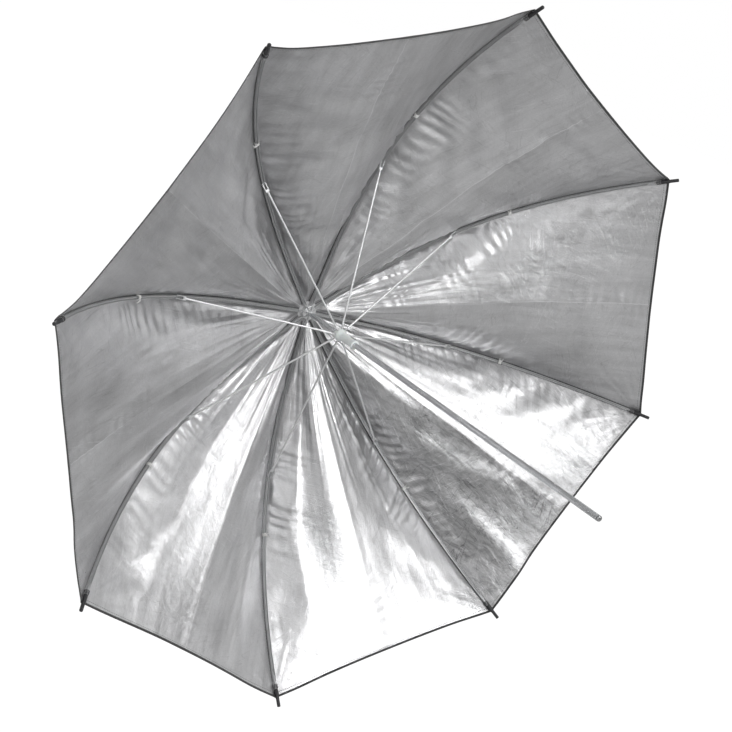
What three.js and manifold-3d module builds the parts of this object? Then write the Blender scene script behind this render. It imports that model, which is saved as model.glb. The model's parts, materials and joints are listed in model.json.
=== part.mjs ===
// Eight-rib reflective studio umbrella, shown open, with its shaft level.
//
// Units are millimetres and +Z is up. The origin is the centre of the flat face at the
// shaft's free end. The shaft runs along +Y from there to the crown, and on to the ferrule
// cap at the closed back of the canopy. Rib 1 points straight up and the others follow it
// every 45 degrees, toward -X first.
//
// Each rib has a working frame of its own, (u, v, h):
//   u  outward from the shaft's axis, in the rib's own radial plane
//   v  across the rib
//   h  along the shaft, from the crown's pivot plane toward the free end
// Geometry is drawn with u, v, h as x, y, z. Parts on the shaft use the frame of rib 1.

import * as THREE from 'three';
import { mergeVertices } from 'three/addons/utils/BufferGeometryUtils.js';
import Module from 'manifold-3d';

// ------------------------------------------------------------------ driving dimensions

const RIBS = 8;
const CANOPY_R = 535;            // shaft axis to a hem corner

// Rib line: h = CANOPY_R * (linear x + square x^2 + cube x^3), with x = u / CANOPY_R
const RIB_CURVE = { linear: 0.02, square: 0.18226, cube: 0.26574 };

// Linkage. It is isosceles: crown pivot to rivet equals rivet to runner pivot, so the
// runner stays at 2 * STAY * cos(angle).
const PIVOT_R = 7.5;             // radius of the two wire rings the linkage turns on
const RIVET_U = 263.8;
const RIVET_H = 46.0;
const RUNNER_H = 2 * RIVET_H;    // runner pivot plane when open
const STAY_REACH = RIVET_U - PIVOT_R;
const STAY = Math.hypot(STAY_REACH, RIVET_H);
const OPEN_ANGLE = Math.atan2(STAY_REACH, RIVET_H);
const FOLD = THREE.MathUtils.degToRad(62);   // full travel of a rib
const RUNNER_TRAVEL = 2 * STAY * Math.cos(OPEN_ANGLE - FOLD) - RUNNER_H;

const SHAFT_R = 4.0;
const SHAFT_BORE_R = 3.4;
const SHAFT_TOP = -24;           // end inside the ferrule cap
const SHAFT_END = 680;           // free end of the tube
const PLUG_END = SHAFT_END + 3;  // flat face of the plug in it
const HUB_BORE_R = 4.3;          // bore of the notch, runner and ferrule cap
const ROSETTE_BORE_R = 4.4;

const RIB_W = 3.6;               // channel, outside width
const RIB_D = 3.2;               // channel, outside depth
const RIB_WALL = 0.6;
const CHANNEL_START = 14;        // ends of the channel, in u
const CHANNEL_END = 519;
const CHANNEL_LAP = 6;           // how far the eye and the spigot run into the channel
const SPIGOT_END = 533;
const TONGUE_T = 1.4;            // flattened ends that sit in the slots
const EYE_R = 0.9;               // hole in a flattened end

const TIP_END = 1.018 * CANOPY_R;
const TIP_LENGTH = 27;
const TIP_BORE_R = 1.95;
const TIP_BORE_DEPTH = 14.5;
const TIP_CHORD_START = 521.5;   // the tip lies along the rib line's chord from here to TIP_END

const STAY_R = 1.5;              // stretcher rod
const EAR_IN = 2.1;              // fork ears, inner and outer faces, from the rib's mid-plane
const EAR_OUT = 2.9;

const PIN_CLEARANCE = 0.3;
const PIN_R = 0.9;
const PIN_HOLE_R = PIN_R + PIN_CLEARANCE;
const PIN_HEAD_R = 1.6;
const STOP_PIN_R = 0.8;

const WIRE_R = 0.5;              // wire rings through the flattened ends
const WIRE_GROOVE_R = WIRE_R + 0.4;
const SLOT_W = 2.0;
const NOTCH_R = 11.5;

const RUNNER_R = 9.5;
const RUNNER_TOP = RUNNER_H - 3.0;
const RUNNER_END = RUNNER_H + 43.5;
const STOP_PIN_H = RUNNER_TOP - 2.4;

// Ranges of h
const RUNNER_WINDOW = [RUNNER_H + 27, RUNNER_H + 37.5];
const OPEN_CATCH = [RUNNER_END + 0.6, RUNNER_END + 13];
const CLOSED_CATCH = [
  RUNNER_WINDOW[0] + 0.8 + RUNNER_TRAVEL,
  RUNNER_WINDOW[1] - 0.8 + RUNNER_TRAVEL,
];

// ------------------------------------------------------------------------- materials

const steel = ({ color, roughness }) =>
  new THREE.MeshStandardMaterial({ color, metalness: 1.0, roughness });
const plastic = ({ color, roughness }) =>
  new THREE.MeshStandardMaterial({ color, metalness: 0.0, roughness });

const MATERIALS = {
  shaft: steel({ color: 0xc9ccd0, roughness: 0.18 }),
  rib: steel({ color: 0x4a4c50, roughness: 0.38 }),
  stretcher: steel({ color: 0xd6d8da, roughness: 0.22 }),
  wire: steel({ color: 0xb9bcc0, roughness: 0.30 }),
  rivet: steel({ color: 0x9a9da1, roughness: 0.35 }),
  catch: steel({ color: 0xa8abaf, roughness: 0.35 }),
  runner: plastic({ color: 0xe9e9e6, roughness: 0.40 }),
  notch: plastic({ color: 0x2a2b2d, roughness: 0.45 }),
  tip: plastic({ color: 0x17181a, roughness: 0.42 }),
  cap: plastic({ color: 0x1a1b1d, roughness: 0.40 }),
  rosette: plastic({ color: 0x222325, roughness: 0.60 }),
  fabric: new THREE.MeshStandardMaterial({ color: 0xbfc1c3, metalness: 0.55, roughness: 0.42 }),
};

// --------------------------------------------------------------------- solid helpers

const wasm = await Module();
wasm.setup();

// Drops everything but position, welds the vertices, drops empty triangles and turns the
// faces outward.
function clean(geometry) {
  const bare = new THREE.BufferGeometry();
  bare.setAttribute('position', geometry.getAttribute('position').clone());
  if (geometry.index) bare.setIndex(geometry.index.clone());
  const welded = mergeVertices(bare, 1e-4);
  const position = welded.getAttribute('position');
  const index = welded.index.array;
  const kept = [];
  const corners = [new THREE.Vector3(), new THREE.Vector3(), new THREE.Vector3()];
  let volume = 0;   // six times the signed volume
  for (let i = 0; i < index.length; i += 3) {
    const triangle = [index[i], index[i + 1], index[i + 2]];
    if (new Set(triangle).size < 3) continue;
    corners.forEach((corner, k) => corner.fromBufferAttribute(position, triangle[k]));
    volume += corners[0].dot(corners[1].clone().cross(corners[2]));
    kept.push(...triangle);
  }
  if (volume < 0) {
    for (let i = 0; i < kept.length; i += 3) [kept[i], kept[i + 1]] = [kept[i + 1], kept[i]];
  }
  welded.setIndex(kept);
  return welded;
}

function toManifold(geometry) {
  const cleaned = clean(geometry);
  return new wasm.Manifold(new wasm.Mesh({
    numProp: 3,
    vertProperties: new Float32Array(cleaned.getAttribute('position').array),
    triVerts: new Uint32Array(cleaned.index.array),
  }));
}

function fromManifold(solid) {
  const mesh = solid.getMesh();
  const geometry = new THREE.BufferGeometry();
  geometry.setAttribute('position', new THREE.Float32BufferAttribute(mesh.vertProperties, 3));
  geometry.setIndex([...mesh.triVerts]);
  return geometry;
}

// Geometries in, one solid out; cut starts from a solid.
const join = (...parts) => parts.map(toManifold).reduce((sum, part) => sum.add(part));
const cut = (solid, ...tools) =>
  tools.reduce((rest, tool) => rest.subtract(toManifold(tool)), solid);

const toVectors = (points) => points.map(([x, y]) => new THREE.Vector2(x, y));

// A solid of revolution about the h axis. The profile is [radius, h] pairs.
function turned(profile, segments) {
  return new THREE.LatheGeometry(toVectors(profile), segments).rotateX(Math.PI / 2);
}

// A ring of round section about the h axis, at the pivot radius.
function pivotRing(sectionR, h) {
  return new THREE.TorusGeometry(PIVOT_R, sectionR, 5, 24).translate(0, 0, h);
}

// A flat plate between v = low and v = high. The outline is [u, h] pairs, and the optional
// hole is a polygon of the given radius.
function plate(outline, low, high, hole) {
  const shape = new THREE.Shape(toVectors(outline));
  if (hole) {
    const rim = [];
    for (let i = 0; i < hole.sides; i++) {
      const angle = -2 * Math.PI * (i + 0.5) / hole.sides;
      rim.push([hole.u + hole.radius * Math.cos(angle), hole.radius * Math.sin(angle)]);
    }
    shape.holes.push(new THREE.Path(toVectors(rim)));
  }
  // extruded along +z of the drawing: turn the drawing's y into h and its depth into v
  return new THREE.ExtrudeGeometry(shape, { depth: high - low, bevelEnabled: false })
    .rotateX(Math.PI / 2)
    .translate(0, high, 0);
}

// A flattened end, with its eye at (u, 0).
function tongue(outline, u) {
  const hole = { u, radius: EYE_R, sides: 8 };
  return plate(outline, -TONGUE_T / 2, TONGUE_T / 2, hole);
}

// A round bar along v, centred on (u, h).
function bar(u, h, radius, length, sides) {
  return new THREE.CylinderGeometry(radius, radius, length, sides).translate(u, 0, h);
}

// A box centred across v, between two values of u and two of h.
function box([uLow, uHigh], width, [hLow, hHigh]) {
  return new THREE.BoxGeometry(uHigh - uLow, width, hHigh - hLow)
    .translate((uLow + uHigh) / 2, 0, (hLow + hHigh) / 2);
}

// Cutters for one radial slot per rib.
function slots(uRange, hRange) {
  return Array.from({ length: RIBS }, (_, i) =>
    box(uRange, SLOT_W, hRange).rotateZ(2 * Math.PI * i / RIBS));
}

// ----------------------------------------------------------------------- rib line

function ribH(u) {
  const { linear, square, cube } = RIB_CURVE;
  const x = u / CANOPY_R;
  return CANOPY_R * (linear * x + square * x * x + cube * x * x * x);
}

function ribSlope(u) {
  const { linear, square, cube } = RIB_CURVE;
  const x = u / CANOPY_R;
  return linear + 2 * square * x + 3 * cube * x * x;
}

class RibLine extends THREE.Curve {
  constructor(from, to) {
    super();
    this.from = from;
    this.to = to;
  }

  getPoint(t, target = new THREE.Vector3()) {
    const u = this.from + (this.to - this.from) * t;
    return target.set(u, 0, ribH(u));
  }
}

// Sweeps a section along the rib line. Its points are [across, toward the crown side].
function alongRib(section, from, to, steps) {
  return new THREE.ExtrudeGeometry(new THREE.Shape(toVectors(section)), {
    steps, bevelEnabled: false, extrudePath: new RibLine(from, to),
  });
}

// ------------------------------------------------------------------ rib, tip, rivet

// Folded steel channel, open toward the free end of the shaft, with a flattened eye at the
// crown and a narrow spigot inside the tip cap.
function ribGeometry() {
  const side = RIB_W / 2;
  const back = RIB_D / 2;
  const sideIn = side - RIB_WALL;
  const backIn = back - RIB_WALL;
  const channel = alongRib([
    [-side, back], [-side, -back], [-sideIn, -back], [-sideIn, backIn],
    [sideIn, backIn], [sideIn, -back], [side, -back], [side, back],
  ], CHANNEL_START, CHANNEL_END, 13);
  const eyeEnd = CHANNEL_START + CHANNEL_LAP;
  const eye = tongue([
    [PIVOT_R - 1.9, -0.7], [PIVOT_R - 1.2, -1.5], [PIVOT_R + 1.2, -1.55], [eyeEnd, -1.0],
    [eyeEnd, 1.2], [PIVOT_R + 1.2, 1.55], [PIVOT_R - 1.2, 1.5], [PIVOT_R - 1.9, 0.7],
  ], PIVOT_R);
  const spigot = alongRib([
    [-1.2, -0.7], [1.2, -0.7], [1.2, 1.3], [-1.2, 1.3],
  ], CHANNEL_END - CHANNEL_LAP, SPIGOT_END, 1);
  const rivetHole = bar(RIVET_U, RIVET_H, PIN_HOLE_R, 6, 8);
  return fromManifold(cut(join(channel, eye, spigot), rivetHole));
}

// Moulded straight tip. The spigot sits in its bore.
function tipGeometry() {
  const endH = ribH(TIP_END);
  const angle = Math.atan2(endH - ribH(TIP_CHORD_START), TIP_END - TIP_CHORD_START);
  // the lathe's axis is h: tip it over so that it runs along the rib's end
  return turned([
    [TIP_BORE_R, 0], [2.9, 0], [3.1, 1.2], [3.1, 11.5], [2.7, 13.0],
    [2.6, TIP_LENGTH - 0.7], [2.1, TIP_LENGTH], [0, TIP_LENGTH],
    [0, TIP_BORE_DEPTH], [TIP_BORE_R, TIP_BORE_DEPTH], [TIP_BORE_R, 0],
  ], 14)
    .translate(0, 0, -TIP_LENGTH)
    .rotateY(Math.PI / 2 - angle)
    .translate(TIP_END, 0, endH);
}

function rivetGeometry() {
  return turned([
    [0, -3.8], [PIN_HEAD_R, -3.7], [PIN_HEAD_R, -3.2], [PIN_R, -3.2],
    [PIN_R, 3.2], [PIN_HEAD_R, 3.2], [PIN_HEAD_R, 3.7], [0, 3.8],
  ], 12)
    .rotateX(Math.PI / 2)
    .translate(RIVET_U, 0, RIVET_H);
}

// ---------------------------------------------------------------------- stretcher

// Bright rod with a forked end that straddles the rib and a flattened eye at the runner.
// Drawn along +u from the runner pivot, then turned and moved into place.
function stretcherGeometry() {
  const eye = tongue([
    [-1.9, -0.7], [-1.2, -1.5], [1.2, -1.5], [13, -0.9],
    [13, 0.9], [1.2, 1.5], [-1.2, 1.5], [-1.9, 0.7],
  ], 0);
  const rodStart = 9;
  const rodEnd = STAY - 11.5;
  const rod = new THREE.CylinderGeometry(STAY_R, STAY_R, rodEnd - rodStart, 12)
    .rotateZ(Math.PI / 2)
    .translate((rodStart + rodEnd) / 2, 0, 0);
  const ear = (low, high) => plate([
    [STAY - 13, -1.1], [STAY, -1.8], [STAY + 1.6, -0.9],
    [STAY + 1.6, 0.9], [STAY, 1.8], [STAY - 13, 1.1],
  ], low, high, { u: STAY, radius: PIN_HOLE_R, sides: 6 });
  const bridge = box([rodEnd - 2, rodEnd + 2], 2 * EAR_OUT, [-1, 1]);
  return fromManifold(join(eye, rod, ear(EAR_IN, EAR_OUT), ear(-EAR_OUT, -EAR_IN), bridge))
    .rotateY(Math.atan2(RIVET_H, STAY_REACH))
    .translate(PIVOT_R, 0, RUNNER_H);
}

// -------------------------------------------------------------------- crown parts

function notchGeometry() {
  const body = toManifold(turned([
    [HUB_BORE_R, -4.0], [NOTCH_R, -4.0], [NOTCH_R, 2.6], [NOTCH_R - 0.8, 3.2],
    [6.0, 3.2], [5.6, 5.4], [HUB_BORE_R, 5.4], [HUB_BORE_R, -4.0],
  ], 24));
  return fromManifold(cut(
    body,
    ...slots([5.1, NOTCH_R + 2], [-2.3, 8]),
    pivotRing(WIRE_GROOVE_R, 0),
  ));
}

// Thin washer on the free-end side of the cloth.
function innerRosetteGeometry() {
  return turned([
    [ROSETTE_BORE_R, -4.9], [17.0, -4.9], [17.0, -4.4],
    [ROSETTE_BORE_R, -4.4], [ROSETTE_BORE_R, -4.9],
  ], 24);
}

// Wider washer on the ferrule side of the cloth.
function outerRosetteGeometry() {
  return turned([
    [ROSETTE_BORE_R, -7.6], [8.0, -7.9], [19.5, -7.6], [20.0, -7.2], [19.5, -6.8],
    [ROSETTE_BORE_R, -6.8], [ROSETTE_BORE_R, -7.6],
  ], 28);
}

function ferruleCapGeometry() {
  return turned([
    [HUB_BORE_R, -8.3], [8.6, -8.3], [9.2, -9.6], [8.2, -11.6], [6.6, -14.0], [6.0, -27.0],
    [5.2, -29.4], [3.8, -30.0], [0, -30.0], [0, -24.4], [HUB_BORE_R, -24.4],
    [HUB_BORE_R, -8.3],
  ], 24);
}

// ----------------------------------------------------------- shaft, runner, catches

// Tube with a window for each catch, on the side away from rib 1, and the stop pin's hole.
function shaftGeometry() {
  const tube = toManifold(turned([
    [SHAFT_BORE_R, SHAFT_TOP], [SHAFT_R, SHAFT_TOP], [SHAFT_R, SHAFT_END],
    [SHAFT_BORE_R, SHAFT_END], [SHAFT_BORE_R, SHAFT_TOP],
  ], 24));
  const window = ([low, high]) =>
    box([-SHAFT_R - 2, -SHAFT_R + 2], 1.8, [low - 0.4, high + 0.4]);
  return fromManifold(cut(
    tube,
    window(OPEN_CATCH),
    window(CLOSED_CATCH),
    bar(0, STOP_PIN_H, STOP_PIN_R + PIN_CLEARANCE, 16, 8),
  ));
}

function shaftEndPlugGeometry() {
  return turned([
    [0, SHAFT_END - 12], [2.6, SHAFT_END - 12], [3.1, SHAFT_END - 11], [3.1, SHAFT_END + 0.3],
    [3.9, SHAFT_END + 0.3], [3.9, SHAFT_END + 2.2], [3.2, PLUG_END], [0, PLUG_END],
  ], 20);
}

// Slotted head toward the crown, then a narrow sleeve with a window and an end collar.
function runnerGeometry() {
  const body = toManifold(turned([
    [HUB_BORE_R, RUNNER_TOP], [RUNNER_R - 0.8, RUNNER_TOP], [RUNNER_R, RUNNER_TOP + 0.8],
    [RUNNER_R, RUNNER_H + 4.0], [9.0, RUNNER_H + 5.0], [6.9, RUNNER_H + 9.0],
    [6.5, RUNNER_H + 13.0], [6.2, RUNNER_H + 38.5], [7.2, RUNNER_H + 39.5],
    [7.2, RUNNER_END - 0.6], [6.6, RUNNER_END], [HUB_BORE_R, RUNNER_END],
    [HUB_BORE_R, RUNNER_TOP],
  ], 24));
  return fromManifold(cut(
    body,
    ...slots([5.4, 12], [RUNNER_H - 8, RUNNER_H + 2.3]),
    pivotRing(WIRE_GROOVE_R, RUNNER_H),
    box([-9, -3], 2.4, RUNNER_WINDOW),
  ));
}

// Sprung wedges inside the shaft, on the side away from rib 1, drawn pressed in flush.
// The open catch has its blunt end toward the crown and the closed catch toward the free end.
function catchGeometry([low, high], bluntAtLow) {
  const top = -(SHAFT_R - 0.15);
  const root = 1.5;
  const foot = -0.6;
  const outline = bluntAtLow
    ? [[root, low], [top, low], [top, low + 2], [foot, high], [root, high]]
    : [[root, low], [foot, low], [top, high - 2], [top, high], [root, high]];
  return plate(outline, -0.5, 0.5);
}

// ------------------------------------------------------------------------- canopy

const FABRIC_T = 0.82;
const FABRIC_IN = 14;            // where the gores start, from the shaft's axis
const CLAMP_R = 20;              // the rosettes hold the cloth flat inside this radius
const FLAT_V = 4.4;              // the cloth lies flat over the rib out to here
const FLAT_MARGIN = 0.2;         // second column of points, beyond FLAT_V
const EDGE_GAP = 0.35;           // half gore's edges, from the rib plane and the mid-line
const MID_DIP = 0.85;            // 0: gores straight from rib to rib, 1: mid-line straight from crown to hem
const HEM_HOLLOW = 0.012;        // how far the middle of a hem edge pulls in

// Distance of the cloth from the rib's centre line, in mm
const CLOTH_OFFSET = 3.7;
const CROWN_LIFT = { height: 2.6, fade: 14 };             // extra at the crown, dying away
const HEM_LIFT = { height: 0.4, from: 495, to: 512 };     // extra near the hem, over this u

const HALF = Math.PI / RIBS;     // angle from a rib to the middle of its gore
const GORE_COLUMNS = 4;          // cells across half a gore
// Rib radius of each row of points
const GORE_ROWS = [
  FABRIC_IN, CLAMP_R, 40, 90, 155, 220, 285, 345, 400, 452, 502, CANOPY_R,
];

function clothOffset(u) {
  const crown = CROWN_LIFT.height * Math.exp(-(((u - FABRIC_IN) / CROWN_LIFT.fade) ** 2));
  const hem = HEM_LIFT.height * THREE.MathUtils.smoothstep(u, HEM_LIFT.from, HEM_LIFT.to);
  return CLOTH_OFFSET + crown + hem;
}

// Width in v from the rib to the gore's mid-line, at the rib radius s.
const halfWidth = (s) => s * Math.sin(2 * HALF) / 2;

// A point of one gore, from rib (t = 0) to mid-line (t = 1), at the rib radius s.
function gorePoint(s, t) {
  const onRib = ribH(s);
  const straight = ribH(CANOPY_R) * Math.max(0, s - CLAMP_R) / (CANOPY_R - CLAMP_R);
  const dip = MID_DIP * Math.max(0, straight - onRib);
  const u = s * (1 - (1 - Math.cos(HALF) ** 2) * t);
  const v = halfWidth(s) * t;
  const clear = Math.max(0, v - FLAT_V) / (halfWidth(s) - FLAT_V);
  const dipShare = 0.8 * (1 - (1 - clear) ** 2) + 0.2 * clear;
  const hollow = HEM_HOLLOW * (s / CANOPY_R) ** 6 * (1 - (1 - t) ** 2);
  const scale = 1 - hollow * CANOPY_R / (s * Math.cos(HALF));
  const tilt = Math.atan(ribSlope(s));
  const offset = clothOffset(s);
  return new THREE.Vector3(
    u * scale + offset * Math.sin(tilt),
    v * scale,
    onRib + dip * dipShare - offset * Math.cos(tilt),
  );
}

// Normal on the free-end side, from central differences.
function goreNormal(s, t) {
  const stepS = 0.5;
  const stepT = 0.01;
  const outward = gorePoint(s + stepS, t).sub(gorePoint(s - stepS, t));
  const across = gorePoint(s, Math.min(1, t + stepT)).sub(gorePoint(s, t - stepT));
  return outward.cross(across).normalize();
}

// Half of a gore, as a thin closed shell. side is +1 or -1. Both faces split their cells
// along the same diagonals, so the thickness is even.
function goreGeometry(side) {
  const rows = GORE_ROWS.length - 1;
  const width = GORE_COLUMNS + 1;
  const layer = (rows + 1) * width;
  const position = new Float32Array(2 * layer * 3);
  GORE_ROWS.forEach((s, i) => {
    const edge = EDGE_GAP / halfWidth(s);
    const first = Math.min(0.5, (FLAT_V + FLAT_MARGIN) / halfWidth(s));
    for (let j = 0; j < width; j++) {
      // the second column stands just clear of the rib's side, and the rest are even
      const t = j === 0 ? edge : first + (1 - edge - first) * (j - 1) / (GORE_COLUMNS - 1);
      const normal = j < 2
        ? new THREE.Vector3(-ribSlope(s), 0, 1).normalize()
        : goreNormal(s, t);
      for (let k = 0; k < 2; k++) {
        const point = gorePoint(s, t).addScaledVector(normal, (k - 0.5) * FABRIC_T);
        position.set([point.x, side * point.y, point.z], 3 * (k * layer + i * width + j));
      }
    }
  });

  const index = [];
  for (let i = 0; i < rows; i++) {
    for (let j = 0; j < GORE_COLUMNS; j++) {
      const a = i * width + j;
      const b = a + width;
      const c = b + 1;
      const d = a + 1;
      index.push(layer + a, layer + b, layer + c, layer + a, layer + c, layer + d);
      index.push(a, c, b, a, d, c);
    }
  }

  // the edge, once round, joins the two faces
  const loop = [];
  for (let i = 0; i < rows; i++) loop.push(i * width);
  for (let j = 0; j < GORE_COLUMNS; j++) loop.push(rows * width + j);
  for (let i = rows; i > 0; i--) loop.push(i * width + GORE_COLUMNS);
  for (let j = GORE_COLUMNS; j > 0; j--) loop.push(j);
  loop.forEach((a, n) => {
    const b = loop[(n + 1) % loop.length];
    index.push(a, b, layer + b, a, layer + b, layer + a);
  });

  const geometry = new THREE.BufferGeometry();
  geometry.setAttribute('position', new THREE.BufferAttribute(position, 3));
  geometry.setIndex(index);
  return geometry;
}

// ----------------------------------------------------------------------- assembly

const umbrella = new THREE.Group();

// Adds the (u, v, h) frame of rib number n, counted from 0.
function addRibFrame(n) {
  const angle = n * 2 * Math.PI / RIBS;
  const frame = new THREE.Group();
  frame.quaternion.setFromRotationMatrix(new THREE.Matrix4().makeBasis(
    new THREE.Vector3(-Math.sin(angle), 0, Math.cos(angle)),
    new THREE.Vector3(-Math.cos(angle), 0, -Math.sin(angle)),
    new THREE.Vector3(0, -1, 0),
  ));
  frame.position.set(0, PLUG_END, 0);
  umbrella.add(frame);
  return frame;
}

function addPiece(frame, name, geometry, material) {
  const mesh = new THREE.Mesh(clean(geometry), material.clone());
  mesh.name = name;
  frame.add(mesh);
}

const SHAFT_PIECES = [
  ['shaft', shaftGeometry(), MATERIALS.shaft],
  ['shaft_end_plug', shaftEndPlugGeometry(), MATERIALS.cap],
  ['crown_notch', notchGeometry(), MATERIALS.notch],
  ['crown_wire', pivotRing(WIRE_R, 0), MATERIALS.wire],
  ['inner_rosette', innerRosetteGeometry(), MATERIALS.rosette],
  ['outer_rosette', outerRosetteGeometry(), MATERIALS.rosette],
  ['ferrule_cap', ferruleCapGeometry(), MATERIALS.cap],
  ['stop_pin', bar(0, STOP_PIN_H, STOP_PIN_R, 11.2, 10), MATERIALS.rivet],
  ['open_catch', catchGeometry(OPEN_CATCH, true), MATERIALS.catch],
  ['closed_catch', catchGeometry(CLOSED_CATCH, false), MATERIALS.catch],
  ['runner', runnerGeometry(), MATERIALS.runner],
  ['runner_wire', pivotRing(WIRE_R, RUNNER_H), MATERIALS.wire],
];

// Repeated for every rib: name before the rib's number, name after it, geometry, material
const RIB_PIECES = [
  ['rib', '', ribGeometry(), MATERIALS.rib],
  ['rib_tip', '', tipGeometry(), MATERIALS.tip],
  ['rivet', '', rivetGeometry(), MATERIALS.rivet],
  ['stretcher', '', stretcherGeometry(), MATERIALS.stretcher],
  ['canopy', 'a', goreGeometry(1), MATERIALS.fabric],
  ['canopy', 'b', goreGeometry(-1), MATERIALS.fabric],
];

const shaftFrame = addRibFrame(0);
for (const [name, geometry, material] of SHAFT_PIECES) {
  addPiece(shaftFrame, name, geometry, material);
}

for (let n = 0; n < RIBS; n++) {
  const frame = addRibFrame(n);
  for (const [name, suffix, geometry, material] of RIB_PIECES) {
    addPiece(frame, `${name}_${n + 1}${suffix}`, geometry, material);
  }
}

export default umbrella;
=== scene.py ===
"""Cloth, thread, surface materials and studio for an eight-rib reflective umbrella.

The shaft lies along Y with its free end at y = 0 and the crown near y = 0.683. The ribs stand
around the shaft, rib 1 toward +Z, and the silver inside of the canopy faces -Y. Sizes are in
millimetres unless a comment says otherwise; meshes and materials are in metres.

Words used for a place on the cloth:
  station  distance from the shaft's axis, measured along the nearest rib's line
  share    0 on the rib, 1 on the gore's mid-line
  across   distance from the rib toward the mid-line
  drop     distance below the crown's pivot plane, toward -Y
Side "a" of a rib is toward the next rib and side "b" toward the one before.
"""

import json
import math
from types import SimpleNamespace

import bpy
import numpy as np
from mathutils import Matrix, Vector


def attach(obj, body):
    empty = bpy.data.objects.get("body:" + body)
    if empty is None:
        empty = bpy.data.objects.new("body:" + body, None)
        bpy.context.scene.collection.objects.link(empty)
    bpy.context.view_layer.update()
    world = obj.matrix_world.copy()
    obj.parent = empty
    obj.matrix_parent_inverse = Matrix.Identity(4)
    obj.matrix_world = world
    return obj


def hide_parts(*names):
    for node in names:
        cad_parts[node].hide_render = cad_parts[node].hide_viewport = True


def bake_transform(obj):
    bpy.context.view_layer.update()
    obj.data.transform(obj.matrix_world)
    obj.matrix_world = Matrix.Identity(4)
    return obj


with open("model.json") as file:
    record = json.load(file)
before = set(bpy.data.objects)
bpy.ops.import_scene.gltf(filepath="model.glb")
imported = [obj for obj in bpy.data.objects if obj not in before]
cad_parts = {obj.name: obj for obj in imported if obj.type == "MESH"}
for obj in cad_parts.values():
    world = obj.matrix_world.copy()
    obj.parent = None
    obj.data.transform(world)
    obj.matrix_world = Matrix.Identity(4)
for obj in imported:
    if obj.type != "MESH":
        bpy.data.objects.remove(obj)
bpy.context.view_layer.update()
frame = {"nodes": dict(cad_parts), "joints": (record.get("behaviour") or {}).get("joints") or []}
nodes = frame["nodes"]
joints = {joint["name"]: joint for joint in frame["joints"]}
scene = bpy.context.scene

# ------------------------------------------------------------------ sizes

RIBS = 8
STEP = 2 * math.pi / RIBS       # angle from rib to rib
HALF_STEP = STEP / 2
HEM_R = 535.0                   # station of the hem
CROWN_Y = 683.0                 # crown pivot plane, from the shaft's free end
RIB_CURVE = (0.02, 0.18226, 0.26574)    # first, second and third powers of station / HEM_R

CLAMP_R = 20.0                  # where the straight line to the hem starts
FABRIC_IN = 14.0                # the cloth's offset from the rib is constant inside this
INNER_R = 13.6                  # inner edge of the cloth
FLAT_WIDTH = 4.4                # cloth this close to the rib follows it
MID_DIP = 0.85                  # share of the rib's bow that the mid-line takes up
HEM_HOLLOW = 0.012              # how far the hem curves in between ribs, as a share
PLY = 0.24                      # half the cloth's thickness
TIE_R = 346.0                   # station of the thread ties

# The fine grid of the cloth
ROWS = 164                      # crown to hem
COLS = 44                       # steps from rib to mid-line
STATIONS = INNER_R + (HEM_R - INNER_R) * (np.arange(ROWS) / (ROWS - 1)) ** 0.94
SHARES = np.arange(COLS + 1) / COLS
SHARES = 0.22 * SHARES**2 + 0.78 * SHARES      # a little closer together beside the rib

# The coarse grid for the simulation
SIM_STATIONS = np.concatenate(
    [[INNER_R, 16.5, 20, 28, 38], np.arange(50, HEM_R - 6, 12.0), [HEM_R]])
SIM_COLS = 11                   # steps from rib to mid-line
SIM_FRAMES = 26
DRAPE_LIMIT = 7.0               # the simulated movement is eased to this at most

# Hem tape and thread
TAPE_SIDES = 12
THREAD_SIDES = 8
ATTRIBUTE_SHIFT = 1.3           # moves each rib's texture to a place of its own


def smoothstep(value, start, end):
    x = np.clip((value - start) / (end - start), 0, 1)
    return x * x * (3 - 2 * x)


def bell(value, centre, width):
    return np.exp(-(((value - centre) / width) ** 2))


def signed_power(value, power):
    return np.sign(value) * np.abs(value) ** power


def rib_drop(station):
    x = station / HEM_R
    first, second, third = RIB_CURVE
    return HEM_R * (first * x + second * x * x + third * x**3)


def rib_slope(station):
    x = station / HEM_R
    first, second, third = RIB_CURVE
    return first + 2 * second * x + 3 * third * x * x


def half_width(station):
    """Distance across, from a rib to the gore's mid-line."""
    return station * math.sin(STEP) / 2


def cloth_offset(station):
    """How far the cloth lies off the rib's line: more at the crown and at the tip."""
    crown = bell(np.maximum(station, FABRIC_IN), centre=FABRIC_IN, width=14)
    return 3.7 + 2.6 * crown + 0.4 * smoothstep(station, start=495, end=512)


def sheet(station, share):
    """Polar radius, polar angle from the rib and drop of the cloth's middle surface."""
    corner = rib_drop(station)
    mid_radius = station * math.cos(HALF_STEP)
    straight = rib_drop(HEM_R) * np.maximum(0, station - CLAMP_R) / (HEM_R - CLAMP_R)
    dip = MID_DIP * np.maximum(0, straight - corner)
    half = half_width(station)
    across = half * share
    clear = np.maximum(0, across - FLAT_WIDTH) / np.maximum(1e-6, half - FLAT_WIDTH)
    dip_share = 0.8 * (1 - (1 - clear) ** 2) + 0.2 * clear
    hollow = HEM_HOLLOW * (station / HEM_R) ** 6 * (1 - (1 - share) ** 2)
    scale = 1 - hollow * HEM_R / mid_radius
    x = station * (1 - (1 - math.cos(HALF_STEP) ** 2) * share) * scale
    y = across * scale
    tilt = np.arctan(rib_slope(station))
    offset = cloth_offset(station)
    radius = np.hypot(x, y) + offset * np.sin(tilt)
    drop = corner + dip * np.maximum(0, dip_share) - offset * np.cos(tilt)
    return radius, np.arctan2(y, x), drop


def to_frame(radius, angle, drop):
    """Points in object axes, in millimetres."""
    return np.stack([-radius * np.sin(angle), CROWN_Y - drop, radius * np.cos(angle)], -1)


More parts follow.
